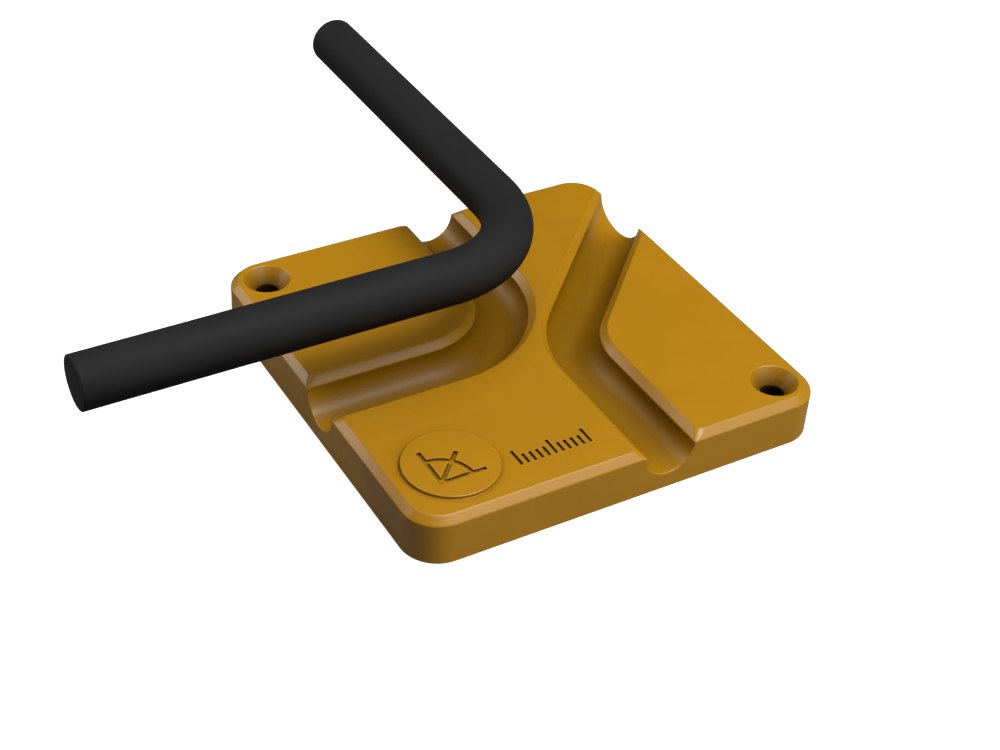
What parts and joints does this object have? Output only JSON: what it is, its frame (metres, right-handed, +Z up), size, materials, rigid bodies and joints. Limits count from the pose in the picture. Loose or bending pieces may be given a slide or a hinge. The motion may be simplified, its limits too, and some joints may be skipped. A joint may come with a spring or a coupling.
{
  "type": "pipe bender",
  "caption": "Square plastic bending block with a right angle groove and a half angle groove for round pipe, and a bent pipe lifted off it.",
  "frame": {"origin": "middle of the block's underside", "axes": "+Z up, out of the grooved face; +Y towards the back face, where the right angle groove goes out; +X towards the right face, where the slanting leg of the half angle groove goes out"},
  "size_m": [0.182, 0.1845, 0.047],
  "materials": {
    "block_plastic": "satin amber gold",
    "pipe_plastic": "satin black"
  },
  "bodies": {
    "block": {"block": "block_plastic"},
    "pipe": {"pipe": "pipe_plastic"}
  },
  "joints": [
    {"name": "pipe_lift", "type": "slide", "parent": "block", "child": "pipe", "axis": [0, 0, 1], "range_m": [-0.028, 0.02]}
  ]
}
